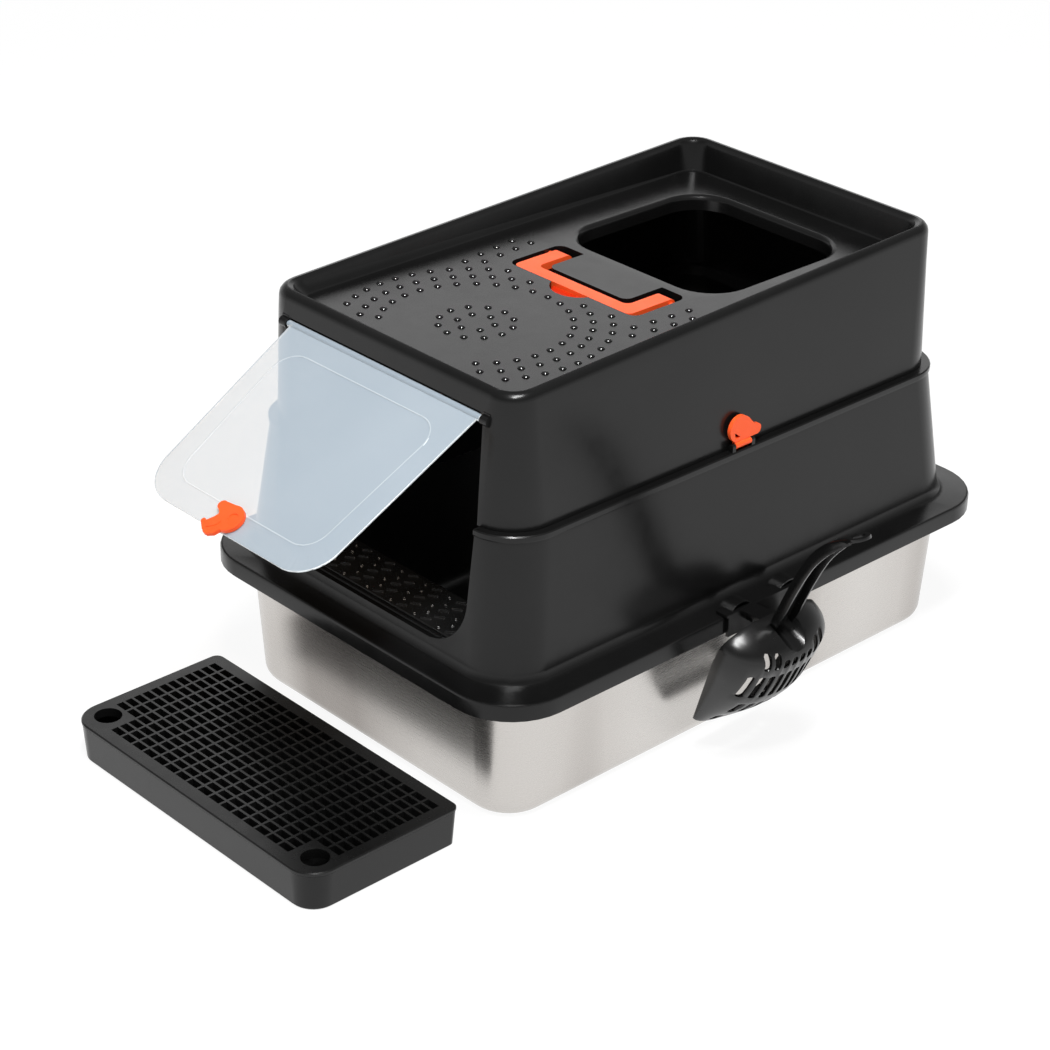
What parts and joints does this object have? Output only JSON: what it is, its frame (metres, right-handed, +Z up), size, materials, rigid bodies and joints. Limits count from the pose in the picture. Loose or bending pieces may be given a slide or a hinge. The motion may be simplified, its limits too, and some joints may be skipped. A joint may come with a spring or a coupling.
{
  "type": "covered cat litter box",
  "caption": "Deep steel litter pan with a plastic entry frame and hood, front flap, top entry hole, folding handle, hanging scoop and a separate step tray.",
  "frame": {"origin": "centre of the pan's base, on the floor", "axes": "+Z up, -Y towards the front door, +X towards the side the scoop hangs on"},
  "size_m": [0.528, 0.7621, 0.3882],
  "materials": {
    "steel": "satin brushed",
    "black_plastic": "satin moulded",
    "gloss_black": "gloss moulded",
    "tread_rubber": "matt, ribbed",
    "orange_plastic": "satin moulded",
    "clear_plastic": "clear, slightly frosted"
  },
  "bodies": {
    "pan": {"steel_pan": "steel"},
    "frame": {"entry_frame": "black_plastic", "threshold_tread": "tread_rubber"},
    "hood": {"hood": "black_plastic", "grip_dots": "gloss_black"},
    "handle": {"carry_handle": "orange_plastic"},
    "flap": {"flap": "clear_plastic"},
    "flap_latch": {"flap_latch": "orange_plastic"},
    "latch_right": {"side_latch_right": "orange_plastic"},
    "latch_left": {"side_latch_left": "orange_plastic"},
    "holder": {"scoop_holder": "black_plastic"},
    "scoop": {"scoop": "gloss_black"},
    "tray": {"step_tray": "black_plastic"},
    "grid": {"step_grid": "black_plastic"}
  },
  "joints": [
    {"name": "frame_lift", "type": "slide", "parent": "pan", "child": "frame", "axis": [0, 0, 1], "range_m": [0, 0.15]},
    {"name": "hood_lift", "type": "slide", "parent": "frame", "child": "hood", "axis": [0, 0, 1], "range_m": [0, 0.15]},
    {"name": "handle_hinge", "type": "hinge", "parent": "hood", "child": "handle", "pos_m": [0, 0.0005, 0.3538], "axis": [-1, 0, 0], "range_deg": [0, 100]},
    {"name": "flap_hinge", "type": "hinge", "parent": "hood", "child": "flap", "pos_m": [0, -0.2535, 0.3465], "axis": [-1, 0, 0], "range_deg": [-125, 25]},
    {"name": "flap_latch_turn", "type": "hinge", "parent": "flap", "child": "flap_latch", "pos_m": [0, -0.40525, 0.26239], "axis": [0, -0.4848, 0.8746], "range_deg": [0, 90]},
    {"name": "latch_right_hinge", "type": "hinge", "parent": "frame", "child": "latch_right", "pos_m": [0.1613, 0, 0.2604], "axis": [0, 1, 0], "range_deg": [0, 95]},
    {"name": "latch_left_hinge", "type": "hinge", "parent": "frame", "child": "latch_left", "pos_m": [-0.1613, 0, 0.2604], "axis": [0, -1, 0], "range_deg": [0, 95]},
    {"name": "holder_lift", "type": "slide", "parent": "frame", "child": "holder", "axis": [0, 0, 1], "range_m": [0, 0.04]},
    {"name": "scoop_lift", "type": "slide", "parent": "holder", "child": "scoop", "axis": [0.4003, 0, 0.9164], "range_m": [0, 0.1]},
    {"name": "tray_slide", "type": "slide", "parent": "pan", "child": "tray", "axis": [0, -1, 0], "range_m": [0, 0.15]},
    {"name": "grid_lift", "type": "slide", "parent": "tray", "child": "grid", "axis": [0, 0, 1], "range_m": [0, 0.06]}
  ]
}
